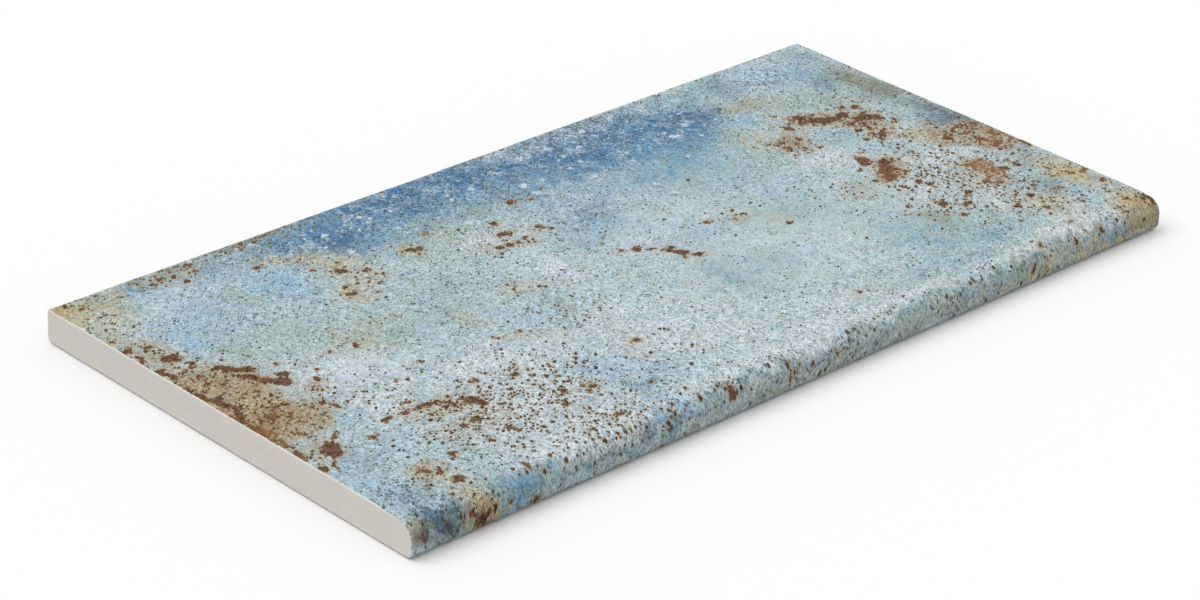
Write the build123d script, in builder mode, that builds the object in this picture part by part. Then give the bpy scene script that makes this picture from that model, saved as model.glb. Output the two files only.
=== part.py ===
from build123d import *
import os
from math import radians, sin

# A stair tread tile, pressed and fired in one piece, lying flat as it is bedded on a step.
# X runs along the step, the rounded nose faces -Y, and the underside is at Z = 0.

# Driving dimensions, in millimetres
LENGTH = 600.0  # along the step, end to end
DEPTH = 300.0  # from the front of the nose to the back edge
THICKNESS = 20.0  # underside to the walking surface

# The nose, where the tread turns over the front of the step
NOSE_LEAD = 26.0  # length over which the walking surface eases down towards the front
NOSE_EASING = 7.0  # degrees that the easing slopes down by before the rounding takes over
NOSE_RADIUS = 0.5 * THICKNESS  # rounding from the top to the front
NOSE_FOOT_RADIUS = 0.2 * THICKNESS  # rounding under the front

# The back edge, as it leaves the press
BACK_TOP_RADIUS = 0.08 * THICKNESS
BACK_FOOT_RADIUS = 0.16 * THICKNESS

# The ground ends
END_ARRIS = 0.04 * THICKNESS  # radius that the sharp edge of each end is taken off with

# Places worked out from the driving dimensions
FRONT_Y = -DEPTH / 2
BACK_Y = DEPTH / 2
EASING_START_Y = FRONT_Y + NOSE_LEAD
# The easing and the rounding are tangent arcs that together span NOSE_LEAD.
EASING_RADIUS = NOSE_RADIUS + (NOSE_LEAD - NOSE_RADIUS) / sin(radians(NOSE_EASING))
QUARTER_TURN = 90.0

os.makedirs("parts", exist_ok=True)

with BuildPart() as tread_tile:
    # The section across the step, drawn from the back edge forwards and round the nose.
    # Seen on this plane, the first direction is +Y and the second is +Z.
    with BuildSketch(Plane.YZ) as section:
        with BuildLine():
            walking = Line((BACK_Y - BACK_TOP_RADIUS, THICKNESS), (EASING_START_Y, THICKNESS))
            easing = JernArc(walking @ 1, walking % 1, EASING_RADIUS, NOSE_EASING)
            nose = JernArc(easing @ 1, easing % 1, NOSE_RADIUS, QUARTER_TURN - NOSE_EASING)
            front = Line(nose @ 1, (FRONT_Y, NOSE_FOOT_RADIUS))
            nose_foot = JernArc(front @ 1, front % 1, NOSE_FOOT_RADIUS, QUARTER_TURN)
            underside = Line(nose_foot @ 1, (BACK_Y - BACK_FOOT_RADIUS, 0))
            back_foot = JernArc(underside @ 1, underside % 1, BACK_FOOT_RADIUS, QUARTER_TURN)
            back = Line(back_foot @ 1, (BACK_Y, THICKNESS - BACK_TOP_RADIUS))
            JernArc(back @ 1, back % 1, BACK_TOP_RADIUS, QUARTER_TURN)
        make_face()
    extrude(amount=LENGTH / 2, both=True)

    # Both ends have their sharp edge eased all the way round the section.
    ends = tread_tile.faces().filter_by(Axis.X)
    fillet(ends.edges(), END_ARRIS)

tread_tile.part.label = "tread_tile"
export_step(tread_tile.part, "parts/tread_tile.step")
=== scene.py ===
import math
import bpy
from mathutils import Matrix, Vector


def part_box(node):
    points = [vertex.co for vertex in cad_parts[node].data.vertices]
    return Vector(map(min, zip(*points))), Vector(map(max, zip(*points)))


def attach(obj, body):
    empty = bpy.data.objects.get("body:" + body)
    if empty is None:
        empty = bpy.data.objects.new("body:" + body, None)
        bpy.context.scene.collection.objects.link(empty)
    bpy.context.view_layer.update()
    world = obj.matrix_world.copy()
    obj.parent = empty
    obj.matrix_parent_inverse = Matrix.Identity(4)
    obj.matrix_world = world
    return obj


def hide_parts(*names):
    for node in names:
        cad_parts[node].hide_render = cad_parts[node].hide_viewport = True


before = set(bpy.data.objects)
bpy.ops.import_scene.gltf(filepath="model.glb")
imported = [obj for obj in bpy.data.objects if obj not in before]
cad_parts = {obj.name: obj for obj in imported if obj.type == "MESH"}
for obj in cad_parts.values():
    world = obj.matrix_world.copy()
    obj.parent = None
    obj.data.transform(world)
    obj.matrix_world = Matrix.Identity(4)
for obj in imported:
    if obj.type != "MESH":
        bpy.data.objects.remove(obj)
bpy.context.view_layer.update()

from types import SimpleNamespace as Marks

import bpy
import numpy as np
from mathutils import Matrix, Vector

# A glazed stoneware stair tread tile lying flat, its rounded nose towards -Y.
# Sizes and places on the tile are in millimetres, and MM turns them into the frame's metres.
MM = 0.001
NODE = "tread_tile"
PIECE = "glazed_tread"
LENGTH, DEPTH, THICKNESS = ((high - low) / MM for low, high in zip(*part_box(NODE)))

# The section's sizes, as the solid has them
NOSE_LEAD = 26.0
NOSE_EASING = math.radians(7.0)
NOSE_RADIUS = 0.5 * THICKNESS
NOSE_FOOT_RADIUS = 0.2 * THICKNESS
BACK_TOP_RADIUS = 0.08 * THICKNESS
BACK_FOOT_RADIUS = 0.16 * THICKNESS
END_ARRIS = 0.04 * THICKNESS
EASING_RADIUS = NOSE_RADIUS + (NOSE_LEAD - NOSE_RADIUS) / math.sin(NOSE_EASING)
QUARTER_TURN = math.pi / 2

# The glaze lies thicker over the nose and covers more of the arris there
NOSE_GLAZE = 3.0

# Spacing of the mesh's points, and how many steps go round the arris
GLAZE_STEP = 1.6
NOSE_STEP = 0.9
BACK_TOP_STEP = 0.45
BACK_STEP = 3.0
UNDERSIDE_STEP = 24.0
ARRIS_STEPS = 4

# The map that the looks are baked on. A strip is the section's stretches in the order they are laid,
# its top and its bottom. The two ends lie side by side below the strips.
LAID_STRIPS = [((7, 8, 0, 1, 2, 3, 4), 0.99, 0.17), ((5, 6), 0.15, 0.09)]
LAID_MARGIN = 0.01
LAID_END_LENGTH = 0.48
LAID_END_HEIGHT = 0.06
LAID_SECOND_END = 0.5

# The glaze's pattern is drawn out as it runs over the nose, after the first stretches of the section
NOSE_STRETCH = 1.4
LEVEL_STRETCHES = 2
# The small marks are longer along one diagonal of the tile than across it, and those of rust more so
DRAWN_TURN = math.radians(45.0)
DRAWN_OUT = 1.12
RUST_DRAWN_OUT = 1.5

# Smooth noise repeats after so many cells
LATTICE_CELLS = 256
# Unevenness in layers: how strong, how large in millimetres, and a seed
GLAZE_SWELLINGS = [(0.16, 46, 51), (0.09, 15, 52), (0.05, 5.5, 53)]
ARRIS_UNEVENNESS = [(0.5, 6.5, 71), (0.2, 1.7, 72)]
WASH_PATCHINESS = [(0.5, 3.6, 100), (0.3, 8.0, 200)]
# How ovals become ragged clouds: the size of a swelling, and how far it pushes
WASH_WANDER = [(30, 5), (11, 3), (5, 3), (3.4, 2.6)]
RUST_WANDER = [(9, 1.6), (4, 1.0)]
SCATTER_WANDER = [(24, 8), (9, 4)]
WASH_SEED = 11
RUST_SEED = 31
# How fast a soft oval fades
OVAL_FADE = 0.9

# The height of a crust of rust, and how far outside the crust it starts to rise
CRUST_HEIGHT = 0.12
CRUST_FOOT = 0.6

# The glaze's colours, as 8-bit sRGB
PALETTE = {
    "mist": (182, 198, 204),
    "milk": (208, 216, 223),
    "sky": (150, 184, 206),
    "blue": (96, 146, 180),
    "deep": (68, 115, 156),
    "teal": (136, 174, 182),
    "sage": (158, 174, 164),
    "straw": (190, 178, 134),
    "ochre": (168, 144, 90),
    "olive": (126, 122, 94),
    "tan": (170, 150, 110),
    "russet": (168, 126, 84),
    "brown": (104, 76, 50),
    "slate": (102, 126, 146),
    "ink": (66, 74, 82),
}

# Ovals on the pattern: x, y, half length, half width, in most lists one more value, and
# a turn in degrees where there is one.

# Soft washes of colour in the order they lie, with their strength in hundredths
WASHES = [
    ("milk", (-215, -6, 26, 16, 80, -20), (-45, 18, 9, 28, 60), (-55, -60, 45, 35, 45),
     (-40, -95, 45, 25, 50), (-70, -136, 40, 10, 50), (-145, -47, 22, 20, 50), (-225, -40, 20, 9, 50, 15),
     (-200, -131, 20, 10, 60), (60, 18, 25, 14, 40), (70, -32, 24, 12, 30), (100, -58, 34, 14, 45),
     (92, -86, 28, 12, 50), (15, -136, 40, 9, 60), (50, -118, 30, 10, 30), (188, 18, 12, 12, 80),
     (232, -18, 14, 14, 60), (195, -52, 12, 7, 60), (262, -30, 8, 10, 50), (226, -82, 12, 9, 50),
     (155, -8, 20, 10, 30), (-172, -45, 7, 8, 40), (20, 10, 18, 10, 40), (-245, 112, 22, 13, 70, 15),
     (270, -112, 9, 9, 50), (262, 13, 9, 7, 50)),
    ("sky", (-180, 92, 24, 26, 75), (-240, 86, 24, 24, 60), (-258, 68, 8, 20, 70), (-195, 122, 20, 12, 50),
     (-110, -92, 16, 26, 65), (-60, 34, 34, 14, 20), (-150, 0, 20, 18, 35), (-105, -25, 18, 14, 40),
     (8, 38, 24, 16, 55), (30, 72, 30, 14, 50), (250, -70, 14, 10, 50), (268, -110, 12, 14, 85),
     (256, 116, 18, 14, 75), (284, 120, 14, 14, 60), (238, 135, 14, 14, 60), (184, 88, 12, 10, 80),
     (285, -48, 12, 10, 70), (225, 6, 14, 10, 50), (-250, -84, 12, 14, 50), (-255, -48, 16, 10, 50, 15),
     (-85, -112, 16, 12, 50), (45, -8, 22, 16, 30), (130, 5, 14, 10, 30), (155, -136, 16, 8, 40),
     (-285, -118, 20, 24, 50)),
    ("teal", (115, 58, 44, 26, 60), (110, 32, 50, 16, 30), (25, -58, 10, 22, 60), (120, -120, 30, 14, 50),
     (152, -106, 30, 24, 60), (190, -114, 22, 14, 70), (188, 132, 30, 14, 70), (264, 100, 16, 10, 70),
     (208, 32, 14, 14, 60), (-120, 30, 30, 24, 40), (-60, 92, 44, 14, 70), (-235, -104, 14, 20, 50),
     (145, -70, 20, 18, 40), (275, -66, 9, 10, 60), (212, 134, 10, 12, 50), (-30, -40, 20, 18, 15),
     (270, 18, 10, 12, 40)),
    ("sage", (-180, 16, 34, 18, 60), (-215, 42, 30, 16, 50, -15), (-256, 48, 14, 12, 50),
     (-208, 94, 8, 18, 50), (-200, 142, 60, 7, 75), (-150, 143, 24, 6, 70), (-60, 97, 40, 10, 40),
     (-12, 96, 26, 9, 60), (225, 86, 24, 14, 60), (250, 74, 20, 12, 60), (150, 76, 14, 8, 50),
     (-125, 6, 12, 10, 50), (95, -14, 14, 10, 50), (160, -36, 20, 14, 40), (178, -84, 16, 16, 50),
     (-268, 122, 12, 18, 50), (-290, -52, 12, 8, 60), (292, 50, 14, 20, 60), (-75, 70, 26, 18, 35),
     (165, 34, 10, 14, 50)),
    ("blue", (-152, 128, 24, 14, 75, -20), (-50, 108, 50, 9, 50), (38, 98, 40, 12, 85),
     (105, 96, 28, 14, 75), (136, 88, 22, 14, 70), (110, 76, 40, 12, 40), (-112, -138, 16, 8, 70),
     (-228, -147, 14, 8, 80), (258, 117, 9, 7, 50), (-5, 74, 14, 8, 30), (6, 44, 14, 9, 30),
     (-244, 142, 9, 8, 50)),
    ("deep", (-122, 124, 30, 18, 80, -10), (-120, 110, 11, 14, 75), (-72, 136, 46, 18, 90),
     (-75, 120, 44, 12, 70), (75, 130, 44, 15, 65), (-12, 132, 46, 22, 80), (30, 124, 30, 18, 90),
     (68, 112, 24, 16, 95), (102, 118, 28, 18, 70), (132, 112, 26, 22, 90), (160, 108, 16, 16, 80),
     (78, 97, 14, 8, 60), (146, 94, 14, 9, 50)),
    ("slate", (90, 141, 34, 8, 25), (145, 136, 24, 9, 30), (-275, -80, 9, 12, 50), (-282, -130, 16, 12, 30),
     (20, 56, 12, 9, 50), (-10, 90, 8, 5, 40), (-104, -120, 12, 6, 60), (-75, -18, 6, 16, 30),
     (-245, -34, 14, 6, 50, 20), (5, 88, 9, 7, 50), (-45, 92, 12, 6, 40), (258, -88, 10, 10, 50),
     (292, 30, 12, 16, 50), (290, 60, 12, 14, 35), (-18, 28, 12, 9, 35), (25, -62, 6, 12, 30),
     (210, 128, 10, 12, 40), (258, -100, 9, 8, 40), (-245, 142, 8, 6, 40), (175, 112, 8, 8, 50),
     (-78, 88, 8, 6, 40)),
    ("straw", (-292, 138, 22, 18, 85), (-264, 140, 16, 9, 20), (-292, 108, 12, 16, 50),
     (-152, 106, 13, 12, 65, -35), (-138, 92, 11, 12, 80), (-150, 66, 18, 11, 45),
     (-172, 117, 14, 6, 60, -25), (-65, 80, 16, 10, 15), (200, 104, 18, 7, 60), (166, 62, 9, 14, 50),
     (258, 6, 15, 11, 65), (285, -88, 12, 18, 90), (242, -110, 14, 14, 60), (-194, 14, 9, 9, 50),
     (-128, -8, 7, 7, 50), (-82, 3, 10, 7, 45), (-254, -138, 13, 11, 50), (-120, -34, 10, 7, 30),
     (105, -26, 9, 7, 40), (-104, -42, 8, 6, 30), (70, -120, 12, 8, 25), (185, -139, 20, 6, 50),
     (235, -136, 16, 7, 60), (282, -138, 10, 8, 60), (-158, 56, 10, 6, 50), (-168, 28, 16, 8, 30),
     (108, -137, 12, 6, 30)),
    ("ochre", (-296, 146, 9, 8, 50), (-158, 62, 8, 6, 30), (288, -100, 9, 12, 30), (-146, 88, 7, 6, 40),
     (-254, -142, 9, 6, 50), (182, 44, 11, 10, 50), (-258, -112, 9, 8, 35), (268, 0, 8, 8, 40)),
    ("olive", (-228, 140, 13, 9, 35), (-292, 78, 11, 22, 35), (292, 82, 11, 24, 75), (206, 101, 14, 7, 20),
     (182, 46, 10, 11, 50), (-172, 141, 12, 6, 40), (-148, 146, 12, 5, 40), (-210, -82, 26, 16, 6),
     (242, 36, 18, 14, 25), (288, -14, 16, 20, 50), (178, -80, 9, 9, 40), (-275, 143, 10, 7, 40)),
    ("tan", (-286, 12, 19, 30, 60), (-280, -28, 24, 18, 55), (-258, -26, 9, 9, 60), (-290, 60, 12, 16, 20),
     (-170, -84, 44, 24, 5), (-208, -66, 26, 10, 20, -15), (-205, -92, 22, 9, 15), (-190, -108, 20, 8, 5),
     (-150, -136, 16, 8, 30), (-295, -68, 9, 10, 30), (222, 58, 24, 10, 30, -25),
     (200, -19, 17, 10, 65, 42), (195, 58, 9, 8, 50), (205, -66, 22, 12, 10), (242, -88, 12, 12, 15),
     (282, -30, 12, 9, 50), (166, -22, 9, 9, 40), (22, -14, 10, 14, 12, 25), (63, 0, 6, 5, 40),
     (-98, 77, 9, 7, 50), (-46, 56, 16, 10, 40), (-18, 55, 7, 6, 40), (215, -102, 14, 6, 25),
     (-258, -113, 7, 6, 25), (295, -135, 8, 9, 60), (245, -36, 7, 10, 40), (-76, -80, 7, 6, 40),
     (-130, -102, 10, 8, 35), (262, -10, 9, 9, 50), (-80, -95, 6, 5, 30), (85, -8, 8, 6, 35)),
    ("russet", (250, -56, 7, 14, 50, -10), (-283, -24, 16, 11, 50), (-296, 0, 6, 34, 40),
     (-268, 12, 10, 9, 40), (-264, 16, 9, 14, 30, -40), (-205, -70, 18, 8, 20, -14),
     (-200, -92, 16, 7, 20)),
    ("ochre", (-288, 28, 11, 11, 55), (-277, 34, 9, 6, 45), (-301, 20, 6, 9, 70), (-300, -18, 5, 9, 70),
     (-298, -28, 5, 8, 60), (-272, 1, 10, 9, 50), (-290, 4, 9, 9, 40), (-283, -32, 10, 6, 35)),
    ("sage", (-270, -6, 7, 4, 40), (-288, 16, 5, 6, 30), (-266, -32, 8, 5, 60), (-284, 42, 8, 6, 40),
     (-276, -44, 9, 6, 60), (-262, -38, 7, 5, 40)),
    ("mist", (-289, -50, 9, 7, 85), (-292, -58, 7, 6, 60), (-273, 29, 3.6, 2.8, 70)),
    ("brown", (-297, 4, 6, 14, 35), (-297, -30, 7, 18, 35), (-266, 22, 9, 14, 25, 35),
     (-279, -19, 11, 6, 45), (-290, 40, 12, 8, 15), (-282, -66, 7, 9, 20), (272, -148, 7, 8, 60),
     (296, -18, 8, 18, 50)),
    ("ink", (288, 10, 12, 9, 60), (296, 28, 6, 12, 40), (-277, -150, 5, 5, 60)),
    # stony patches in the deep blue
    ("milk", (54, 134, 7, 4, 50, 10), (82, 137, 7, 3.5, 50), (108, 131, 6, 4, 55), (145, 135, 4, 5.5, 80),
     (-95, 132, 4, 6, 60), (38, 130, 5, 4, 65), (8, 123, 4.5, 3, 70), (63, 103, 4, 3.5, 50),
     (156, 108, 4, 4, 50), (120, 141, 7, 4, 50), (-140, 123, 8, 3, 60), (-108, 124, 5, 3, 50),
     (-20, 113, 4, 3, 50), (108, 118, 4, 3, 50), (88, 98, 3.5, 3, 60), (-36, 132, 4, 4, 45),
     (70, 124, 5, 3, 40), (132, 97, 4, 3, 40), (-60, 124, 4, 3, 40), (30, 141, 6, 3, 50)),
    ("ink", (66, 135, 3, 3, 60), (86, 131, 3, 2.5, 50), (70, 143, 4, 2.6, 50), (96, 139, 4, 3, 50),
     (155, 113, 4, 3.5, 50), (172, 103, 3, 3.6, 35), (164, 106, 3, 3.6, 30), (128, 126, 3, 3, 40),
     (46, 142, 4, 3, 40), (-122, 110, 5, 7, 25), (-122, 87, 3, 2, 50), (112, 143, 4, 3, 40),
     (100, 124, 3, 3, 30), (60, 128, 3, 2.6, 40)),
    # pale places between the rust, and darker ones at the back
    ("milk", (-240, -90, 14, 14, 50), (-230, -48, 24, 11, 50), (-170, -45, 24, 12, 40),
     (-120, -60, 20, 16, 50), (180, 20, 16, 11, 50), (-60, 60, 13, 9, 45), (0, -110, 30, 12, 35),
     (120, -110, 20, 9, 35), (60, -110, 20, 10, 25), (160, -40, 12, 10, 30), (-58, 20, 16, 14, 40),
     (212, -102, 12, 9, 35), (-168, -94, 40, 28, 60), (-150, -128, 30, 10, 30), (-200, -8, 22, 12, 40)),
    ("slate", (270, 92, 14, 11, 50), (-200, 134, 24, 10, 40), (285, 130, 14, 12, 30), (288, 12, 14, 10, 50),
     (210, 130, 14, 12, 20)),
    ("olive", (282, 62, 14, 13, 30), (200, 110, 18, 8, 30), (285, 95, 12, 12, 35), (250, 62, 18, 12, 20)),
    ("blue", (-100, 98, 22, 10, 60), (-232, 100, 15, 10, 20), (78, 66, 30, 14, 42), (112, 62, 26, 12, 20),
     (78, 96, 18, 9, 35), (-15, 98, 16, 8, 30)),
    ("teal", (50, -60, 22, 14, 35), (120, -20, 22, 16, 35), (160, -90, 26, 16, 30)),
    ("tan", (286, -58, 12, 12, 50), (212, -22, 15, 10, 60, 42)),
    ("sky", (-240, 129, 14, 9, 60), (-284, -84, 10, 8, 30)),
    # along the nose: pale along the top of the rounding, partly wear and partly a painted highlight; darker
    # down the front and at the foot, which is painted shade
    # the long pale band is partly wear and partly a painted highlight
    ("milk", (0, -137.5, 330, 4.5, 65), (-200, -139, 36, 5, 50), (225, -137, 48, 5, 65)),
    # the long slate band is painted shade where the nose turns down
    ("slate", (0, -148.5, 330, 2.2, 45), (-60, -150, 60, 3, 20), (-190, -149, 90, 2.6, 20),
     (160, -147.5, 30, 2.6, 10), (262, -150, 8, 4, 20)),
    # the long olive band is painted shade along the foot
    ("olive", (0, -158, 330, 2.4, 40), (-293, -150, 7, 6, 80), (185, -150, 9, 4, 35), (246, -147, 4, 3, 70),
     (224, -146, 2.5, 5, 40)),
    ("straw", (30, -153, 110, 2.6, 30), (245, -154, 60, 3.4, 75), (150, -154, 60, 2.6, 25),
     (285, -140, 13, 10, 80), (-253, -143, 13, 12, 55), (-302.6, -150.3, 6, 3, 70)),
    ("teal", (-240, -140, 14, 9, 40), (-222, -150, 20, 6, 40)),
    ("blue", (-227, -146, 12, 5, 42), (-232, -142, 13, 7, 35), (-287, -142, 16, 8, 35),
     (-118, -147, 14, 4, 45), (258, -145, 7, 3, 20)),
    ("ink", (-277, -150, 8, 5, 70), (-285, -144, 5, 4, 60), (-268, -145, 5, 4, 50), (-276, -138, 5, 3, 30),
     (-282.4, -150, 5, 5, 70), (-279, -141.6, 4, 3, 60), (160, -147, 8, 2, 30)),
    ("ochre", (-254, -148, 8, 10, 40), (-20, -152, 6, 4, 30), (289, -142, 11, 7, 50),
     (272, -142, 3, 7, 40)),
    ("sage", (150, -150, 90, 4, 40), (40, -150, 60, 3, 25)),
    ("brown", (-252, -152, 6, 4, 80), (-298.3, -154.5, 6, 3.4, 90), (-297, -153, 4, 2.6, 60),
     (294.5, -142.5, 5, 6, 50)),
    ("straw", (245, -153, 55, 2.6, 40)),
]

# Crusts of rust
RUST_PATCHES = [
    # the left end
    (-294.5, 6, 11, 3.4, -77), (-296, -12, 9, 3, 72), (-298, 29, 4, 2.5, 30), (-269, 36, 6, 3.4, -40),
    (-261, 28, 6, 3.8, -40), (-264, 19, 5, 3.6, -60), (-260, 13, 5, 3, -45), (-254, 6, 6.5, 4, -40),
    (-248.5, 11.5, 4, 3.4), (-279, 49, 5, 2, 85), (-297, 40, 3, 1.5, 45), (-283, 62, 6, 4, -30),
    (-297, 97, 3, 2), (-296, 85, 4, 2.5, 10), (-285, 80, 3, 2), (-298, 68, 2.5, 3), (-291, 69, 2, 2),
    (-297, 54, 4, 2.5, 10), (-253, -26, 2.5, 2.5), (-249, -33, 2, 2.5), (-281, -65, 7, 5.5, 35),
    (-283, -70, 5, 4), (-289, -79, 8, 1.5, 60), (-298, -60, 3, 7), (-297, -78, 3, 3), (-270, -58, 4, 2, 25),
    (-238, -60, 4, 2), (-256, -69, 3, 2.5), (-243, 22, 1.8, 1.8), (-232, 3, 2, 2), (-238, -5, 2.4, 2.4),
    (-296, 47, 3, 5), (-297, 22, 2.4, 7), (-296.5, -28, 2.8, 9), (-297, -46, 2.4, 6), (-297, 74, 2, 4),
    (-272, -13, 6, 2.2, 10), (-281, -21, 6, 2.4, 20),
    # the dotted field on the left
    (-212, -61, 8, 2), (-203, -65, 4, 3, -45), (-199, -72, 4, 2), (-189.5, -73, 4.8, 4.6),
    (-187, -78, 3, 2.6), (-225, -60, 4, 1.6), (-218, -54, 5, 1.4), (-203, -90, 4, 3), (-212, -92, 2.4, 2.4),
    (-193, -108, 2.6, 4.4), (-211, -110, 1.8, 3), (-175, -58, 3.2, 1.8, 30), (-152, -66, 3.5, 2.2, -20),
    (-145, -95, 2.2, 3), (-130, -103, 2.5, 2), (-153, -108, 2.4, 2.4), (-237, -110, 2.6, 3),
    # the middle of the left half, with the ochre patch
    (-214, 16, 2, 2), (-197, 14, 2, 2), (-183, -23, 1.8, 1.8), (-131, -30, 2.2, 1.8, -30),
    (-119, -32, 1.6, 1.5), (-205, -31, 2.4, 1.8), (-146, 85, 3.6, 3), (-133, 77, 3.2, 2.8),
    (-157, 95, 2.2, 2), (-178, 118, 2.4, 1.8), (-160, 60, 2.4, 2), (-148, 68, 2.4, 1.8),
    (-139, 68, 2.2, 1.8), (-130, 68, 1.8, 1.6), (-148, 54, 1.8, 1.6), (-157, 68, 1.8, 1.6),
    (-137, 59, 1.8, 1.6),
    # the back edge on the left
    (-292, 146, 1.8, 1.6), (-279, 146, 2, 1.6), (-285, 137, 2, 1.8), (-247, 146, 2, 1.6),
    (-236, 137, 2, 1.8), (-229, 140, 2.6, 2.2), (-222, 138, 2.6, 2.4), (-220, 129, 2, 1.6),
    (-209, 143, 2.4, 2), (-209, 137, 2, 1.6), (-168, 146, 1.8, 1.6), (-173, 140, 2, 1.6),
    (-160, 142, 1.8, 1.6), (-151, 147, 2, 1.6),
    # the middle
    (-99, 79, 3.4, 2.4, -50), (-93, 77, 3.4, 2, 20), (-97, 72, 2, 1.6), (-79, 89, 1.8, 1.6),
    (-36, 74, 2.6, 2, 40), (-42, 63, 3.2, 2.8), (-38, 61, 2.4, 2), (-54, 51, 3.5, 2, 10),
    (-48, 49, 3.2, 2.6), (-42, 49, 2, 1.8), (-34, 51, 1.8, 1.6), (-34, 44, 1.8, 1.6),
    (-18, 56, 3.6, 2.6, 15), (-15, 51, 1.8, 1.6), (3, 86, 2.6, 2, 30), (-9, 91, 3, 2.4), (-6, 17, 1.8, 1.6),
    (-4, 5, 2, 2.4),
    # the chain in the centre
    (5, -1, 3.4, 2.8), (11, -6, 2.4, 2), (18, -12, 4.4, 3, -40), (23, -10, 2.4, 2.4),
    (21, -18, 4.6, 2.8, -60), (26, -19, 2.6, 2.6), (28, -26, 4, 2.4, -55), (20, -24, 1.8, 2.2),
    (63, 0, 3, 2.2), (79, -8, 1.8, 1.8), (87, -6, 1.8, 1.6), (100, -33, 2.6, 1.8), (-75, -79, 2.6, 2.4),
    (-27, -53, 1.8, 1.6), (66, -119, 1.8, 1.6),
    # the back of the right half
    (203, 79, 2, 2), (197, 60, 3, 2.6), (215, 66, 4.5, 3.4, -45), (210, 61, 3, 2.4, 20),
    (220, 58, 7, 4.4, -40), (229, 53, 7, 4.2, -25), (238, 54, 5, 3, 25), (246, 60.5, 4.6, 2.4, 12),
    (254, 56, 3.2, 2.6, 20), (244, 44, 6.5, 2.8, 5), (250, 40, 5.5, 3.6, -40), (236, 40, 5, 2, 30),
    (229, 31, 2.4, 1.8, 45), (237, 31, 3, 1.8, 60), (254, 27, 2.6, 1.8), (260, 29, 2.2, 1.8, 60),
    (237.5, 18, 9, 2.6, 45), (224, 19, 2.8, 2.2, 60), (246, 9, 2.4, 1.8), (170, 51, 2.2, 2),
    (177, 48, 3, 2, 20), (175, 41, 2.6, 2.2), (189, 45, 1.8, 3.6), (184, 40, 2, 1.8), (184, 34, 2, 1.8),
    (192, 30, 2.4, 2), (171, 31, 2, 1.8), (182, 11, 1.8, 1.8), (206, 9, 2.6, 2.2), (198, -1, 7.5, 4.4, 65),
    # the front of the right half
    (206, -12, 7, 4, 45), (200, -19, 10, 4.4, 48), (194, -26, 7, 3.2, 25), (206, -26, 4, 1.8, 50),
    (187, -9, 2, 1.8), (184, -24, 2, 1.8), (202, -42, 2.2, 2), (189, -43, 2.4, 2), (206, -48, 3.4, 2),
    (237, -67, 4, 3, 30), (241, -73, 4, 2.5), (247, -46, 2.4, 2), (256, -46, 2, 2), (258, -61, 2.6, 3.4),
    (268, -62, 1.8, 4), (270, -54, 2.2, 2), (190, -70, 4, 3), (172, -61, 2, 2), (171, -72, 2.2, 2),
    (203, -79, 4, 2.4, 10), (214, -70, 3, 2), (188, -90, 2.6, 2.2), (240, -97, 3.2, 2.6),
    (224, -100, 3.4, 2.4), (237, -113, 2.4, 2), (265, -101, 2, 1.8), (260, -121, 2.6, 1.8),
    (232, -135, 2, 1.8),
    # the right end
    (264, -10, 10, 2.2, 50), (282, -5, 11, 1.2, 5), (284, -14, 10, 1.2, -5), (294, -6, 2.4, 3.6),
    (292, -24, 3, 3), (279, -26, 2.4, 4.5), (283, -35, 6, 2, 15), (298, -45, 2, 6), (279, -79, 2.4, 2),
    (273, -87, 2.8, 2), (294, -94, 3, 2.4), (286, -92, 2.6, 1.8), (295, -110, 2.8, 2.4),
    (283, -122, 2.4, 1.8), (285, -136, 3, 2), (272, -141, 1.4, 3.6), (298, -143, 1.6, 4),
    (246, -147, 2, 2.2), (195, -142, 2.4, 1.2, 50), (181, -151, 1.4, 3.2, -30), (193, -152, 1.2, 3, 10),
    (222, -146, 1, 3.6, -15),
    # the front edge on the left
    (-259, -113, 3.8, 3), (-253, -119, 2.4, 2), (-252, -129, 3.6, 3.2), (-236, -110, 2, 1.8),
    (-252, -153, 5, 3), (-214, -141, 1.6, 4, 10), (-215, -155, 2.4, 2), (-140, -133, 4, 2.2, 20),
    (-69, -147, 2.8, 3), (-25, -152, 1.2, 3.4, 10), (12, -148, 1, 2.4),
]

# Broken crusts, with how far in they count at most in millimetres, which sets how much breaks through
BROKEN_CRUSTS = [
    (-283, 8, 20, 38, -0.9), (-280, -32, 22, 16, -0.9), (-277, -18, 11, 6, -0.5, 5),
    (-287, -25, 4, 6, -0.2), (-297, -34, 4, 10, -0.2), (-284, 34, 8, 5, -0.7, -30), (-283, -64, 9, 9, -2.0),
    (-290, 72, 12, 18, -2.4), (-245, -10, 6, 5, -0.9), (-206, -68, 20, 8, -2.8, -14),
    (-200, -92, 22, 8, -3.4), (222, 58, 20, 8, -0.6, -28), (243, 40, 14, 9, -0.7),
    (200, -19, 16, 8, -0.4, 42), (250, -56, 7, 15, 0.1, -10), (240, -60, 14, 18, -2.9),
    (285, -22, 16, 22, -0.8), (288, -95, 12, 26, -3.1), (262, -10, 8, 9, -1.2), (-257, -115, 9, 7, -1.9),
    (-253, -152, 8, 5, -1.0), (284, -142, 15, 9, -2.9), (-228, 139, 16, 9, -2.8),
    (240, 22, 10, 8, -1.2, 40),
]
# How far in a whole crust counts at most, and how far out a place without rust is
DEEPEST_CRUST = 3.0
FAR_FROM_RUST = -8.0
# How much faster the rust thins out outside a crust than inside it
CRUST_FALL = 2.2

# Where the crusts are lighter and redder, with how much in hundredths
SCORCHES = [
    (250, -56, 9, 17, 100, -10), (284, -28, 16, 14, 50), (-297, -36, 6, 14, 80), (-297, -66, 5, 10, 80),
    (-258, -113, 7, 6, 40), (200, -20, 10, 7, 25, 42), (288, -95, 12, 24, 40), (-284, -20, 14, 10, 30),
]

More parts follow.
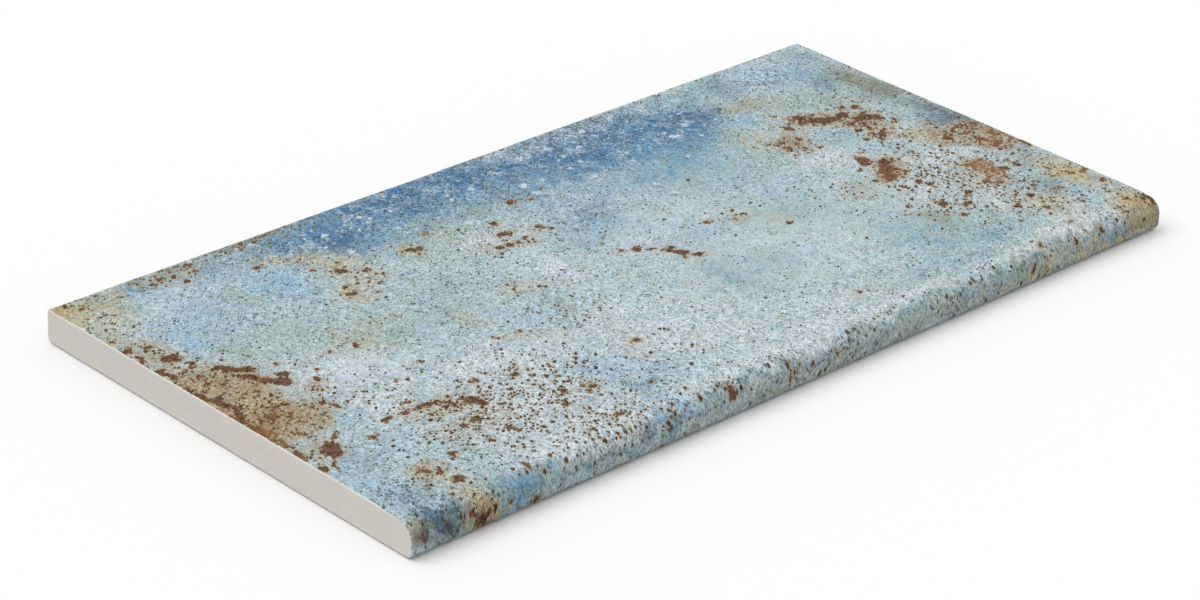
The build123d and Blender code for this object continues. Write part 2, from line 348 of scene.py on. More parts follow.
# Scatters of small rust dots, with how many places in a hundred hold one
DOT_SCATTERS = [
    (-180, -86, 48, 34, 70), (-204, -68, 25, 13, 95, -12), (-198, -90, 27, 13, 80, 5),
    (-185, -110, 28, 11, 55), (-150, -95, 32, 26, 75), (-150, -132, 50, 16, 60),
    (-240, -34, 26, 14, 30, -20), (230, -62, 38, 50, 70), (208, -36, 26, 26, 55), (185, -75, 22, 22, 50),
    (236, -106, 20, 16, 28), (165, -22, 20, 14, 35), (287, -92, 12, 28, 40), (285, -20, 16, 23, 60),
    (-287, 122, 16, 32, 30), (-288, 66, 13, 20, 45), (-228, 139, 20, 10, 40), (-282, 2, 22, 46, 18),
    (-150, 64, 20, 13, 22), (-145, 98, 16, 16, 20), (-80, -20, 22, 28, 20), (-75, -95, 22, 22, 20),
    (80, 0, 28, 13, 12), (178, 44, 15, 13, 40), (245, 34, 20, 28, 60), (-154, -141, 27, 9, 55),
    (-20, -149, 70, 4, 20), (-256, -115, 12, 9, 35), (-252, -142, 9, 9, 30), (258, 6, 14, 10, 45),
    (284, -142, 14, 8, 75), (150, -150, 70, 4, 20), (-45, 58, 36, 20, 12), (-165, 142, 26, 8, 35),
    (290, 80, 12, 34, 10), (-80, -146, 12, 6, 30), (-40, 152, 220, 6, 35),
]
# The share of places that hold one anywhere
SPECK_SHARE = 0.004

# Scatters of dark grains, in the same way
GRAIN_SCATTERS = [
    (-20, 125, 150, 26, 50), (90, 140, 50, 9, 80), (165, 106, 16, 16, 70), (-150, 130, 26, 14, 70),
    (-5, 44, 26, 16, 50), (20, 55, 16, 8, 50), (290, 14, 15, 18, 120), (288, 50, 16, 26, 50),
    (272, 92, 16, 14, 50), (-245, 140, 14, 10, 60), (-200, 143, 90, 7, 50), (-280, -132, 22, 22, 85),
    (-100, 20, 40, 30, 25), (-72, -22, 24, 32, 35), (-104, -121, 12, 6, 80), (-235, -100, 22, 24, 40),
    (0, -147.5, 330, 2.6, 100), (-150, -147, 38, 5, 70), (-278, -143, 20, 12, 100), (20, 152, 170, 6, 90),
    (240, 120, 18, 13, 60), (-190, 60, 70, 40, 15), (258, -90, 16, 14, 30),
]

# Scatters of pale flecks, most of them in the deep blue, in the same way
FROST_SCATTERS = [
    (-50, 126, 115, 26, 50), (72, 136, 52, 13, 130), (120, 118, 56, 30, 60), (-145, 122, 25, 12, 90),
    (10, 106, 190, 46, 16), (242, 122, 22, 16, 30),
]

# Where the glaze is calmer, with how much in hundredths
CALMS = [
    (75, -40, 90, 55, 100), (40, 20, 50, 20, 80), (160, -70, 40, 40, 80), (-215, -8, 26, 14, 80, -20),
    (100, 55, 60, 25, 70),
]

# What the mesh's points keep of the lists: the ovals, the least value anywhere, and a seed
SCATTERS = {
    "dots": (DOT_SCATTERS, SPECK_SHARE, 61),
    "grains": (GRAIN_SCATTERS, 0.0, 63),
    "scorch": (SCORCHES, 0.0, 67),
    "frost": (FROST_SCATTERS, 0.0, 65),
    "calm": (CALMS, 0.0, 69),
}


def linear(srgb):
    """An 8-bit sRGB colour as linear light."""
    share = np.array(srgb) / 255
    return np.where(share <= 0.04045, share / 12.92, ((share + 0.055) / 1.055) ** 2.4)


def lattice_noise(u, v, cell, seed):
    """Smooth noise from -1 to 1, with swellings about one cell across."""
    count = LATTICE_CELLS
    table = np.random.default_rng(seed).uniform(-1, 1, (count, count))
    a, b = np.asarray(u) / cell, np.asarray(v) / cell
    i, j = np.floor(a).astype(int), np.floor(b).astype(int)
    s, t = a - i, b - j
    s, t = s * s * (3 - 2 * s), t * t * (3 - 2 * t)
    i, j, i_next, j_next = i % count, j % count, (i + 1) % count, (j + 1) % count
    near = table[i, j] * (1 - s) + table[i_next, j] * s
    far = table[i, j_next] * (1 - s) + table[i_next, j_next] * s
    return near * (1 - t) + far * t


def swellings(u, v, sizes, base=0.0, layer=0):
    """base with smooth noises added to it; each layer of washes has its own."""
    return sum((strength * lattice_noise(u, v, cell, seed + layer) for strength, cell, seed in sizes), base)


def section():
    """Points round the section, from the back of the walking surface forwards: y, z, the way
    they face, how much glaze they carry, and how far up the pattern they are."""
    nose_end = THICKNESS - EASING_RADIUS * (1 - math.cos(NOSE_EASING)) - NOSE_RADIUS * math.cos(NOSE_EASING)
    nose_turn = QUARTER_TURN - NOSE_EASING
    # length, turn, step, and the glaze at the start and the end of each stretch
    stretches = [
        (DEPTH - BACK_TOP_RADIUS - NOSE_LEAD, 0, GLAZE_STEP, 1, 1),
        (EASING_RADIUS * NOSE_EASING, NOSE_EASING, GLAZE_STEP, 1, NOSE_GLAZE),
        (NOSE_RADIUS * nose_turn, nose_turn, NOSE_STEP, NOSE_GLAZE, NOSE_GLAZE),
        (nose_end - NOSE_FOOT_RADIUS, 0, NOSE_STEP, NOSE_GLAZE, NOSE_GLAZE),
        (NOSE_FOOT_RADIUS * QUARTER_TURN, QUARTER_TURN, NOSE_STEP, NOSE_GLAZE, 1),
        (DEPTH - NOSE_FOOT_RADIUS - BACK_FOOT_RADIUS, 0, UNDERSIDE_STEP, 0, 0),
        (BACK_FOOT_RADIUS * QUARTER_TURN, QUARTER_TURN, NOSE_STEP, 0, 0),
        (THICKNESS - BACK_FOOT_RADIUS - BACK_TOP_RADIUS, 0, BACK_STEP, 0, 0),
        (BACK_TOP_RADIUS * QUARTER_TURN, QUARTER_TURN, BACK_TOP_STEP, 0, 1),
    ]
    back = DEPTH / 2 - BACK_TOP_RADIUS
    place = np.array([back, THICKNESS])
    heading = math.pi
    up_pattern = back
    rows = []
    for index, (length, turn, step, glaze_from, glaze_to) in enumerate(stretches):
        count = max(2, math.ceil(length / step))
        share = np.arange(count) / count
        angle = heading + turn * share
        heading_next = heading + turn
        if turn:
            radius = length / turn
            y = place[0] + radius * (np.sin(angle) - math.sin(heading))
            z = place[1] - radius * (np.cos(angle) - math.cos(heading))
            place = place + radius * np.array([math.sin(heading_next) - math.sin(heading),
                                               math.cos(heading) - math.cos(heading_next)])
        else:
            y = place[0] + length * share * math.cos(heading)
            z = place[1] + length * share * math.sin(heading)
            place = place + length * np.array([math.cos(heading), math.sin(heading)])
        drawn_out = 1 if index < LEVEL_STRETCHES else NOSE_STRETCH
        pattern = up_pattern - length * share / drawn_out
        if index == len(stretches) - 1:
            # the last stretch comes up to the back of the walking surface, where the pattern starts
            pattern = back + length * (1 - share)
        glaze = glaze_from + (glaze_to - glaze_from) * share
        rows.append(np.column_stack([y, z, np.sin(angle), -np.cos(angle), glaze, pattern]))
        heading = heading_next
        up_pattern -= length / drawn_out
    laid = laid_rows([stretch[0] for stretch in stretches], [len(points) for points in rows])
    return np.concatenate(rows), laid


def laid_rows(lengths, counts):
    """How far up the baking map each point round the section is, and the point after it."""
    starts, ends = [None] * len(lengths), [None] * len(lengths)
    for order, top, bottom in LAID_STRIPS:
        whole = sum(lengths[index] for index in order)
        done = 0.0
        for index in order:
            share = (done + lengths[index] * np.arange(counts[index] + 1) / counts[index]) / whole
            height = top + (bottom - top) * share
            starts[index], ends[index] = height[:-1], height[1:]
            done += lengths[index]
    return np.concatenate(starts), np.concatenate(ends)


def lay_out(mesh, xs, ring, laid, i, j):
    """The map that the looks are baked on: the glazed sheet, the underside and the two ends."""
    along = LAID_MARGIN + (1 - 2 * LAID_MARGIN) * (xs - xs[0]) / (xs[-1] - xs[0])
    starts, ends = laid
    across = np.stack([along[i], along[i], along[i + 1], along[i + 1]], -1)
    upward = np.stack([starts[j], ends[j], ends[j], starts[j]], -1)
    places = [np.stack([across, upward], -1).reshape(-1, 2)]
    end = np.column_stack([ring[:, 0] / DEPTH + 0.5, ring[:, 1] / THICKNESS])
    end = end * (LAID_END_LENGTH, LAID_END_HEIGHT)
    places.append(end[::-1] + (LAID_MARGIN, LAID_MARGIN))
    places.append(end + (LAID_SECOND_END + LAID_MARGIN, LAID_MARGIN))
    layer = mesh.uv_layers.new(name="OFBake")
    layer.data.foreach_set("uv", np.concatenate(places).astype(np.float32).ravel())


def stations():
    """Places along the tile: x, the share of the arris taken off there, and the glaze left."""
    inner = LENGTH / 2 - END_ARRIS
    count = round(2 * inner / GLAZE_STEP)
    plain = np.linspace(-inner, inner, count + 1)
    shares = np.arange(1, ARRIS_STEPS + 1) / ARRIS_STEPS
    x = inner + END_ARRIS * np.sin(QUARTER_TURN * shares)
    off = 1 - np.cos(QUARTER_TURN * shares)
    glaze = 1 - shares
    return (
        np.concatenate([-x[::-1], plain, x]),
        np.concatenate([off[::-1], np.zeros(count + 1), off]),
        np.concatenate([glaze[::-1], np.ones(count + 1), glaze]),
    )


def out_of(u, v, x, y, along, across, turn):
    """How far out of an oval each point is: 0 in its middle, 1 on its edge."""
    angle = math.radians(turn)
    du, dv = u - x, v - y
    a = (du * math.cos(angle) + dv * math.sin(angle)) / along
    b = (dv * math.cos(angle) - du * math.sin(angle)) / across
    return np.hypot(a, b)


def soft_oval(u, v, x, y, along, across, percent, turn=0):
    """The oval's share in its middle, falling softly to 0 outside it."""
    return percent / 100 * np.exp(-(out_of(u, v, x, y, along, across, turn) ** 2) * OVAL_FADE)


def depth_in(u, v, x, y, along, across, turn=0):
    """How far inside an oval each point is, in millimetres, negative outside."""
    return (1 - out_of(u, v, x, y, along, across, turn)) * math.sqrt(along * across)


def wandering(u, v, sizes, seed):
    """The pattern's coordinates pushed about, so that ovals become ragged clouds."""
    for step, (cell, reach) in enumerate(sizes):
        u, v = (
            u + reach * lattice_noise(u, v, cell, seed + 2 * step),
            v + reach * lattice_noise(u, v, cell, seed + 2 * step + 1),
        )
    return u, v


def washed_colours(u, v):
    """The colour of the washes at each point, as linear light."""
    u, v = wandering(u, v, WASH_WANDER, WASH_SEED)
    colour = np.tile(linear(PALETTE["mist"]), (len(u), 1))
    for layer, (name, *ovals) in enumerate(WASHES):
        patchy = swellings(u, v, WASH_PATCHINESS, 1.0, layer)
        for oval in ovals:
            share = np.clip(soft_oval(u, v, *oval) * patchy, 0, 1)[:, None]
            colour = colour * (1 - share) + linear(PALETTE[name]) * share
    return colour


def rust_depth(u, v):
    """How far inside the rust each point is, in millimetres, negative outside."""
    u, v = wandering(u, v, RUST_WANDER, RUST_SEED)
    depth = np.full(len(u), FAR_FROM_RUST)
    for oval in RUST_PATCHES:
        reach = depth_in(u, v, *oval)
        depth = np.maximum(depth, np.minimum(np.minimum(reach, CRUST_FALL * reach), DEEPEST_CRUST))
    for x, y, along, across, most, *turn in BROKEN_CRUSTS:
        depth = np.maximum(depth, np.minimum(depth_in(u, v, x, y, along, across, *turn), most))
    return depth


def scattered(u, v, ovals, least, seed):
    """The share of the strongest oval at each point."""
    u, v = wandering(u, v, SCATTER_WANDER, seed)
    share = np.full(len(u), least)
    for oval in ovals:
        share = np.maximum(share, soft_oval(u, v, *oval))
    return share


def relief(u, v, rust):
    """Height of the glaze's unevenness and of the rust, in millimetres."""
    return swellings(u, v, GLAZE_SWELLINGS) + CRUST_HEIGHT * np.clip(rust + CRUST_FOOT, 0, 1)


def build_tile():
    """The tile, with its relief in the mesh and the pattern's values kept on its points."""
    ring, laid = section()
    xs, arris_off, end_glaze = stations()
    rows, columns = len(xs), len(ring)
    x = np.repeat(xs, columns)
    y, z, face_y, face_z, glaze, v = np.tile(ring, (rows, 1)).T
    rust = rust_depth(x, v)
    # the arris is a little uneven, as ground and chipped edges are
    uneven = swellings(v, np.zeros(len(v)), ARRIS_UNEVENNESS, 1.0)
    inward = END_ARRIS * np.repeat(arris_off, columns) * uneven
    rise = relief(x, v, rust) * np.minimum(glaze, 1) - inward
    points = np.column_stack([x, y + face_y * rise, z + face_z * rise]) * MM

    i, j = np.meshgrid(np.arange(rows - 1), np.arange(columns), indexing="ij")
    j_next = (j + 1) % columns
    here, beyond = i * columns, (i + 1) * columns
    corners = np.stack([here + j, here + j_next, beyond + j_next, beyond + j], -1)
    faces = corners.reshape(-1, 4).tolist()
    faces.append(list(range(columns))[::-1])
    faces.append(list(range((rows - 1) * columns, rows * columns)))

    mesh = bpy.data.meshes.new(PIECE)
    mesh.from_pydata(points.tolist(), [], faces)
    smooth = np.ones(len(faces), bool)
    smooth[-2:] = False
    mesh.polygons.foreach_set("use_smooth", smooth)
    lay_out(mesh, xs, ring, laid, i, j)

    def keep(name, values, kind="FLOAT", field="value"):
        layer = mesh.attributes.new(name, kind, "POINT")
        layer.data.foreach_set(field, np.ascontiguousarray(values, np.float32).ravel())

    keep("wash", np.column_stack([washed_colours(x, v), np.ones(len(x))]), "FLOAT_COLOR", "color")
    keep("pattern", np.column_stack([x, v, np.zeros(len(x))]), "FLOAT_VECTOR", "vector")
    keep("glaze", glaze * np.repeat(end_glaze, columns))
    keep("rust", rust)
    for name, (ovals, least, seed) in SCATTERS.items():
        keep(name, scattered(x, v, ovals, least, seed))
    mesh.update()
    tile = bpy.data.objects.new(PIECE, mesh)
    bpy.context.collection.objects.link(tile)
    return tile


# Where a dot's surroundings start and where they are full, in units of its edge's softness
HALO = -2.6, 0.2


class Graph:
    """The nodes of one material, added and joined by short calls."""

    def __init__(self, material):
        material.use_nodes = True
        self.tree = material.node_tree
        self.tree.nodes.clear()

    def node(self, kind, inputs, **settings):
        made = self.tree.nodes.new(kind)
        for name, value in settings.items():
            setattr(made, name, value)
        for name, value in inputs.items():
            if isinstance(value, bpy.types.NodeSocket):
                self.tree.links.new(value, made.inputs[name])
            else:
                made.inputs[name].default_value = value
        return made

    def attribute(self, name, output="Fac"):
        return self.node("ShaderNodeAttribute", {}, attribute_name=name).outputs[output]

    def math(self, operation, a, b, c=0.0):
        return self.node("ShaderNodeMath", {0: a, 1: b, 2: c}, operation=operation).outputs[0]

    def times(self, a, b):
        return self.math("MULTIPLY", a, b)

    def added(self, base, value, times):
        """base, and so many times value added to it."""
        return self.math("MULTIPLY_ADD", value, times, base)

    def vectors(self, operation, inputs):
        return self.node("ShaderNodeVectorMath", inputs, operation=operation).outputs[0]

    def colour(self, value):
        if isinstance(value, bpy.types.NodeSocket):
            return value
        return (*linear(value), 1.0)

    def mix(self, share, a, b):
        inputs = {0: share, 6: self.colour(a), 7: self.colour(b)}
        return self.node("ShaderNodeMix", inputs, data_type="RGBA").outputs[2]

    def over(self, surface, mark, strength, colour):
        """surface, with a colour laid over it where the mark is."""
        return self.mix(self.times(mark, strength), surface, colour)

    def scaled(self, colour, light):
        return self.vectors("SCALE", {0: colour, "Scale": light})

    def noise(self, vector, cell, detail=2.0, roughness=0.5, output="Fac"):
        """Noise over the pattern, with swellings about one cell across."""
        inputs = {"Vector": vector, "Scale": 1 / cell, "Detail": detail, "Roughness": roughness}
        return self.node("ShaderNodeTexNoise", inputs, noise_dimensions="2D").outputs[output]

    def swing(self, vector, cell, detail=2.0, roughness=0.5):
        """The same noise, to either side of 0."""
        return self.math("SUBTRACT", self.noise(vector, cell, detail, roughness), 0.5)

    def noises(self, vector, cell, detail, roughness):
        """Three separate noises."""
        found = self.noise(vector, cell, detail, roughness, "Color")
        return self.node("ShaderNodeSeparateColor", {0: found}).outputs

    def between(self, value, low, high, to_low=0.0, to_high=1.0):
        """value taken from low..high to to_low..to_high, softly, and held at the ends."""
        inputs = {"Value": value, "From Min": low, "From Max": high, "To Min": to_low, "To Max": to_high}
        return self.node("ShaderNodeMapRange", inputs, interpolation_type="SMOOTHSTEP").outputs[0]

    def drawn_out(self, vector, times):
        """The same coordinates, with marks drawn out along the diagonal."""
        inputs = {"Vector": vector, "Rotation": (0.0, 0.0, DRAWN_TURN), "Scale": (times, 1.0, 1.0)}
        return self.node("ShaderNodeMapping", inputs, vector_type="TEXTURE").outputs[0]

    def shaken(self, vector, cell, reach):
        """The same coordinates pushed about by up to half of reach."""
        push = self.noise(vector, cell, detail=1.0, output="Color")
        push = self.vectors("SUBTRACT", {0: push, 1: (0.5, 0.5, 0.5)})
        return self.vectors("MULTIPLY_ADD", {0: push, 1: (reach, reach, 0.0), 2: vector})

    def marks(self, vector, kind, share):
        """Each size of one kind: a dot in a share of the cells, what surrounds it, and a tone."""
        place = self.shaken(vector, *kind.shake)
        for cell, least, most, part in kind.cells:
            inputs = {"Vector": place, "Scale": 1 / cell}
            found = self.node("ShaderNodeTexVoronoi", inputs, voronoi_dimensions="2D").outputs
            chance = self.node("ShaderNodeSeparateColor", {0: found["Color"]}).outputs
            here = self.math("LESS_THAN", chance[0], self.times(share, part))
            radius = self.added(least, chance[1], most - least)
            depth = self.math("DIVIDE", self.math("SUBTRACT", radius, found["Distance"]), kind.softness)
            dot = self.times(self.between(depth, 0.0, 1.0), here)
            halo = self.times(self.between(depth, *HALO), here)
            yield dot, halo, chance[2]

    def strewn(self, surface, vector, kind, share):
        """surface, with marks of one kind on it."""
        for dot, _, tone in self.marks(vector, kind, share):
            surface = self.over(surface, dot, kind.cover, self.mix(tone, *kind.colours))
        return surface


# Kinds of small marks. shake is how their places are pushed about, as size and reach in millimetres,
# softness is that of their edges, and cover is how much they hide. cells are size in millimetres, least
# and largest radius, and part of the share. Colours are 8-bit sRGB, and a pair is the ends of a range.
FLECKS = Marks(
    shake=(2.0, 3.2), softness=0.16, cover=0.85, colours=[(170, 196, 216), (212, 225, 234)],
    cells=[(2.6, 0.1, 0.46, 0.35), (4.6, 0.1, 0.46, 0.4), (8.0, 0.1, 0.42, 0.35)],
)
GRAINS = Marks(
    shake=(1.7, 2.4), softness=0.12, cover=0.75, cells=[(2.2, 0.14, 0.46, 1), (3.6, 0.14, 0.42, 1)],
)
COLD_GRAINS = (50, 70, 90), (80, 94, 98)
WARM_GRAINS = (62, 52, 40), (100, 88, 60)
SPECKS = Marks(
    shake=(1.3, 1.5), softness=0.14, cover=0.72, cells=[(1.5, 0.14, 0.42, 1), (2.6, 0.1, 0.34, 1)],
)
SPECK_SHADE = 0.36
OLIVE_SPECKS = (104, 100, 70)
SINGLE_SPECKS = Marks(
    shake=(1.9, 1.1), softness=0.1, cover=0.9, colours=[(42, 52, 60), (82, 62, 42)],
    cells=[(2.1, 0.2, 0.38, 1)],
)
PALE_DOTS = Marks(
    shake=(1.6, 1.8), softness=0.14, cover=0.7, colours=[(212, 198, 152), (186, 198, 192)],
    cells=[(2.6, 0.16, 0.44, 1)],
)
RUST_DOTS = Marks(
    shake=(1.9, 1.1), softness=0.08, cover=0.95, colours=[(100, 70, 44), (50, 37, 28)],
    cells=[(2.1, 0.2, 0.45, 1), (3.7, 0.16, 0.37, 1)],
)
RIM_COVER = 0.42
RIM = (170, 148, 92)

GREEN_TINT = (150, 166, 140)
BLUE_TINT = (104, 152, 182)
WARM_TINT = (176, 164, 120)
BLEEDS = (168, 142, 102), (192, 175, 136)
STAINS = (118, 84, 56), (162, 126, 82)
CRUSTS = (58, 40, 33), (122, 86, 60)
LIGHT_CRUST = (152, 114, 72)
RED_CRUST = (166, 122, 78)
BODY = (230, 226, 219), (236, 231, 224)
BODY_CLOUD = (223, 217, 209)

# Clouds in the ground: size in millimetres, detail, and how much they lighten and darken
GROUND_LIGHT = 1.01
GROUND_CLOUDS = [(12.0, 3.0, 0.3), (3.0, 2.0, 0.95), (1.2, 1.0, 1.3)]
# Noises: size in millimetres, detail and roughness
TINTS = 9.0, 4.0, 0.6
RUST_TONES = 2.4, 4.0, 0.8
RUST_MOTTLE = 2.2, 3.0, 0.7
RUST_RAGS = 2.1, 3.0, 0.72
# Sizes of drifts, clumps and lumps, in millimetres
GRAIN_DRIFTS = 9.0
SPECK_DRIFTS = 16.0
DOT_CLUMPS = 8.0
RUST_LUMPS = 5.4
# How far noise pushes the rust's edges, and where each starts and is full, in millimetres
LUMPS_PUSH = 7.0
BLEED_PUSH = 14.0
STAIN_PUSH = 13.0
CRUST_PUSH = 8.5
BLEED_EDGE = -4.0, -0.2
STAIN_EDGE = -1.2, 0.4
CRUST_EDGE = -0.2, 0.3
# The body's grain and clouds: how many to the metre, and detail
BODY_NOISES = [(700.0, 3.0), (60.0, 2.0)]
# The share of flecks from which the deep blue starts, and where it is full
IN_BLUE = 0.1, 0.4
# Where noise turns from one tone to the other
TURNS = 0.42, 0.58

# How much glaze is left where it ends, how the surfaces take the light, and the finest bumps
GLAZE_END = 0.66, 0.82
BODY_ROUGHNESS = 0.9
GLAZE_ROUGHNESS = 0.72, 0.6
CRUST_ROUGHNESS = 0.15
SPECULAR = 0.18
BUMP_STRENGTH = 0.35
BUMP_HEIGHT = 0.3 * MM


class Glaze(Graph):
    """The glaze's graph, with what its layers share."""

    def __init__(self, material):
        super().__init__(material)
        pattern = self.attribute("pattern", "Vector")
        self.drawn = self.drawn_out(pattern, DRAWN_OUT)
        self.rust_drawn = self.drawn_out(pattern, RUST_DRAWN_OUT)
        self.dot_share = self.attribute("dots")
        self.frost = self.attribute("frost")
        self.calm = self.attribute("calm")
        self.rust = self.attribute("rust")
        # how the rust is broken up, and where it is darker or lighter
        self.lumps = self.times(self.swing(self.rust_drawn, RUST_LUMPS), LUMPS_PUSH)
        self.rags = self.swing(self.rust_drawn, *RUST_RAGS)
        self.burnt, self.scorched, _ = self.noises(self.rust_drawn, *RUST_TONES)


def clouded_ground(g):
    """The washes, clouded, with a little green, blue and ochre in them."""
    ground = g.attribute("wash", "Color")
    green, blue, warm = g.noises(g.drawn, *TINTS)
    warmth = g.times(g.between(warm, 0.54, 0.72, 0.0, 0.22), g.between(g.frost, *IN_BLUE, 1.0, 0.0))
    ground = g.mix(g.between(green, 0.52, 0.7, 0.0, 0.3), ground, GREEN_TINT)
    ground = g.mix(g.between(blue, 0.52, 0.7, 0.0, 0.3), ground, BLUE_TINT)
    ground = g.mix(warmth, ground, WARM_TINT)
    light = GROUND_LIGHT
    lively = g.times(g.between(g.frost, 0.0, 0.5, 1.0, 1.7), g.between(g.calm, 0.0, 1.0, 1.05, 0.55))
    for cell, detail, depth in GROUND_CLOUDS:
        light = g.added(light, g.times(g.swing(g.drawn, cell, detail, 0.6), depth), lively)
    return g.scaled(ground, light)


def dark_grains(g, surface):
    """Dark grains, warmer where there are dots of rust."""
    drifts = g.between(g.noise(g.drawn, GRAIN_DRIFTS), 0.4, 0.6, 0.2, 1.0)
    rusty = g.between(g.dot_share, 0.04, 0.16)
    for grain, _, tone in g.marks(g.drawn, GRAINS, g.times(g.attribute("grains"), drifts)):
        colour = g.mix(rusty, g.mix(tone, *COLD_GRAINS), g.mix(tone, *WARM_GRAINS))
        surface = g.over(surface, grain, GRAINS.cover, colour)
    return surface


def dark_specks(g, surface):
    """Fine dark specks in drifts, and larger single ones."""
    drifts = g.between(g.noise(g.drawn, SPECK_DRIFTS), 0.36, 0.66, 0.1, 0.5)
    share = g.times(drifts, g.between(g.calm, 0.0, 1.0, 1.05, 0.4))
    for speck, _, tone in g.marks(g.drawn, SPECKS, share):
        olive = g.times(tone, g.between(g.frost, *IN_BLUE, 0.7, 0.0))
        colour = g.mix(olive, g.scaled(surface, SPECK_SHADE), OLIVE_SPECKS)
        surface = g.over(surface, speck, SPECKS.cover, colour)
    share = g.times(drifts, g.between(g.frost, *IN_BLUE, 0.36, 0.05))
    return g.strewn(surface, g.rust_drawn, SINGLE_SPECKS, share)


def stains(g, surface):
    """Stains in and round the rust, broken up, with pale dots among them."""
    mottled = g.added(g.rust, g.swing(g.rust_drawn, *RUST_MOTTLE), BLEED_PUSH)
    bleed = g.between(g.math("ADD", mottled, g.lumps), *BLEED_EDGE, 0.0, 0.5)
    surface = g.mix(bleed, surface, g.mix(g.between(g.scorched, *TURNS), *BLEEDS))
    stain = g.between(g.added(g.rust, g.rags, STAIN_PUSH), *STAIN_EDGE, 0.0, 0.6)
    surface = g.mix(stain, surface, g.mix(g.between(g.burnt, *TURNS), *STAINS))
    return g.strewn(surface, g.rust_drawn, PALE_DOTS, g.between(g.rust, -3.4, -1.6, 0.0, 0.34))


def rust_dots(g, surface):
    """Rust dots in clumps and round the crusts, each with an ochre rim."""
    clump = g.between(g.noise(g.drawn, DOT_CLUMPS), 0.38, 0.62, 0.35, 1.25)
    share = g.math("MAXIMUM", g.dot_share, g.between(g.rust, -5.0, -1.0, 0.0, 0.22))
    share = g.times(g.times(share, clump), g.between(g.frost, 0.25, 0.5, 1.0, 0.0))
    for dot, halo, tone in g.marks(g.rust_drawn, RUST_DOTS, share):
        surface = g.over(surface, halo, RIM_COVER, RIM)
        surface = g.over(surface, dot, RUST_DOTS.cover, g.mix(tone, *RUST_DOTS.colours))
    return surface


def crusted(g, surface):
    """The surface with crusts of rust on it, and where they are."""
    depth = g.added(g.math("ADD", g.rust, g.lumps), g.rags, CRUST_PUSH)
    crust = g.between(depth, *CRUST_EDGE)
    colour = g.mix(g.between(g.burnt, 0.4, 0.6), *CRUSTS)
    colour = g.mix(g.between(g.scorched, 0.55, 0.68, 0.0, 0.6), colour, LIGHT_CRUST)
    colour = g.over(colour, g.attribute("scorch"), 0.75, RED_CRUST)
    return g.over(surface, crust, 0.95, colour), crust


def bare_body(g):
    """The fired body without glaze, a little grainy and clouded."""
    place = g.node("ShaderNodeTexCoord", {}).outputs["Object"]
    grain, cloud = (
        g.node("ShaderNodeTexNoise", {"Vector": place, "Scale": scale, "Detail": detail}).outputs["Fac"]
        for scale, detail in BODY_NOISES
    )
    body = g.mix(g.between(grain, 0.35, 0.65), *BODY)
    return g.mix(g.between(cloud, 0.35, 0.65, 0.0, 0.25), body, BODY_CLOUD)


def glaze_material():
    """The glaze in its layers, and the bare body where it ends along a ragged line."""
    material = bpy.data.materials.new("weathered_glaze")
    g = Glaze(material)
    surface = g.strewn(clouded_ground(g), g.drawn, FLECKS, g.frost)
    for layer in (dark_grains, dark_specks, stains, rust_dots):
        surface = layer(g, surface)
    surface, crust = crusted(g, surface)
    edge = g.added(g.attribute("glaze"), g.swing(g.drawn, 2.0), 0.5)
    glazed = g.between(edge, *GLAZE_END)

    fleck = g.noise(g.drawn, 2.6, 3.0, 0.6)
    rough = {0: glazed, 2: BODY_ROUGHNESS, 3: g.between(fleck, 0.3, 0.7, *GLAZE_ROUGHNESS)}
    rough = g.node("ShaderNodeMix", rough, data_type="FLOAT").outputs[0]
    rough = g.added(rough, g.times(crust, glazed), CRUST_ROUGHNESS)
    bumps = {"Strength": BUMP_STRENGTH, "Distance": BUMP_HEIGHT, "Height": g.added(fleck, crust, 0.3)}
    shader = g.node("ShaderNodeBsdfPrincipled", {
        "Base Color": g.mix(glazed, bare_body(g), surface),
        "Roughness": rough,
        "Normal": g.node("ShaderNodeBump", bumps).outputs[0],
        "Specular IOR Level": SPECULAR,
    })
    g.node("ShaderNodeOutputMaterial", {"Surface": shader.outputs[0]})
    return material


# The camera, as the photograph was taken: a long lens, a little tilted
LENS_MM = 108.29
SENSOR_MM = 36.0
LOOKS_AT = Vector((-28.4, -5.2, 0.0)) * MM
CAMERA_DISTANCE = 2.0531
CAMERA_AZIMUTH = math.radians(-45.70)
CAMERA_ELEVATION = math.radians(27.08)
CAMERA_ROLL = math.radians(3.14)
FARTHEST_SEEN = 50.0


def add_camera():
    """The camera that fits the photograph's four top corners."""
    back = Vector((
        math.sin(CAMERA_AZIMUTH) * math.cos(CAMERA_ELEVATION),
        -math.cos(CAMERA_AZIMUTH) * math.cos(CAMERA_ELEVATION),
        math.sin(CAMERA_ELEVATION),
    ))
    right = Vector((0, 0, 1)).cross(back).normalized()
    up = back.cross(right)
    tilted_right = right * math.cos(CAMERA_ROLL) + up * math.sin(CAMERA_ROLL)
    tilted_up = up * math.cos(CAMERA_ROLL) - right * math.sin(CAMERA_ROLL)
    data = bpy.data.cameras.new("camera")
    data.lens = LENS_MM
    data.sensor_width = SENSOR_MM
    data.sensor_fit = "HORIZONTAL"
    data.clip_end = FARTHEST_SEEN
    camera = bpy.data.objects.new("camera", data)
    turn = Matrix((tilted_right, tilted_up, back)).transposed().to_4x4()
    camera.matrix_world = Matrix.Translation(LOOKS_AT + back * CAMERA_DISTANCE) @ turn
    bpy.context.collection.objects.link(camera)
    bpy.context.scene.camera = camera


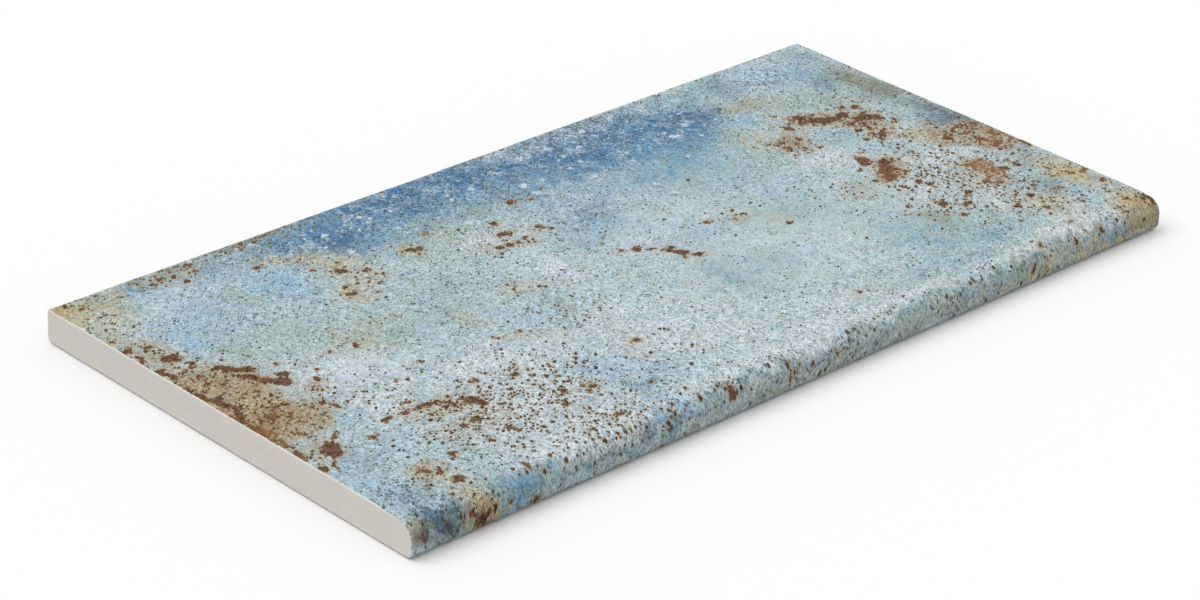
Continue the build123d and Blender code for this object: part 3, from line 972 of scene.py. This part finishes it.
# The floor lies a little below the tile, which draws the thin dark line under its end
FLOOR_HALF = 8.0
FLOOR_DROP = 0.6 * MM
FLOOR_SEEN = (255, 255, 255)
FLOOR_LIT = (176, 176, 176)


def add_floor():
    """A floor that is seen white, but throws less light back than white would."""
    mesh = bpy.data.meshes.new("floor")
    corners = [(-1, -1), (1, -1), (1, 1), (-1, 1)]
    points = [(a * FLOOR_HALF, b * FLOOR_HALF, -FLOOR_DROP) for a, b in corners]
    mesh.from_pydata(points, [], [(0, 1, 2, 3)])
    floor = bpy.data.objects.new("floor", mesh)
    bpy.context.collection.objects.link(floor)
    material = bpy.data.materials.new("white_floor")
    g = Graph(material)
    path = g.node("ShaderNodeLightPath", {}).outputs
    seen = g.math("MAXIMUM", path["Is Camera Ray"], path["Is Glossy Ray"])
    seen = g.math("MAXIMUM", seen, path["Is Transmission Ray"])
    shader = g.node("ShaderNodeBsdfDiffuse", {"Color": g.mix(seen, FLOOR_LIT, FLOOR_SEEN)})
    g.node("ShaderNodeOutputMaterial", {"Surface": shader.outputs[0]})
    mesh.materials.append(material)


SKY_STRENGTH = 0.76
KEY_FROM = Vector((-0.45, 0.42, 0.79))
KEY_SPREAD = math.radians(40.0)
KEY_STRENGTH = 0.94


def add_light():
    """A white sky, and a broad soft light from the back left."""
    world = bpy.data.worlds.new("studio")
    world.use_nodes = True
    background = world.node_tree.nodes["Background"]
    background.inputs["Color"].default_value = (1.0, 1.0, 1.0, 1.0)
    background.inputs["Strength"].default_value = SKY_STRENGTH
    bpy.context.scene.world = world

    data = bpy.data.lights.new("key", "SUN")
    data.energy = KEY_STRENGTH
    data.angle = KEY_SPREAD
    key = bpy.data.objects.new("key", data)
    key.rotation_euler = (-KEY_FROM).to_track_quat("-Z", "Y").to_euler()
    bpy.context.collection.objects.link(key)


tile = build_tile()
tile.data.materials.append(glaze_material())
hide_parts(NODE)
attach(tile, "root")

add_camera()
add_floor()
add_light()
bpy.context.scene.view_settings.view_transform = "Standard"
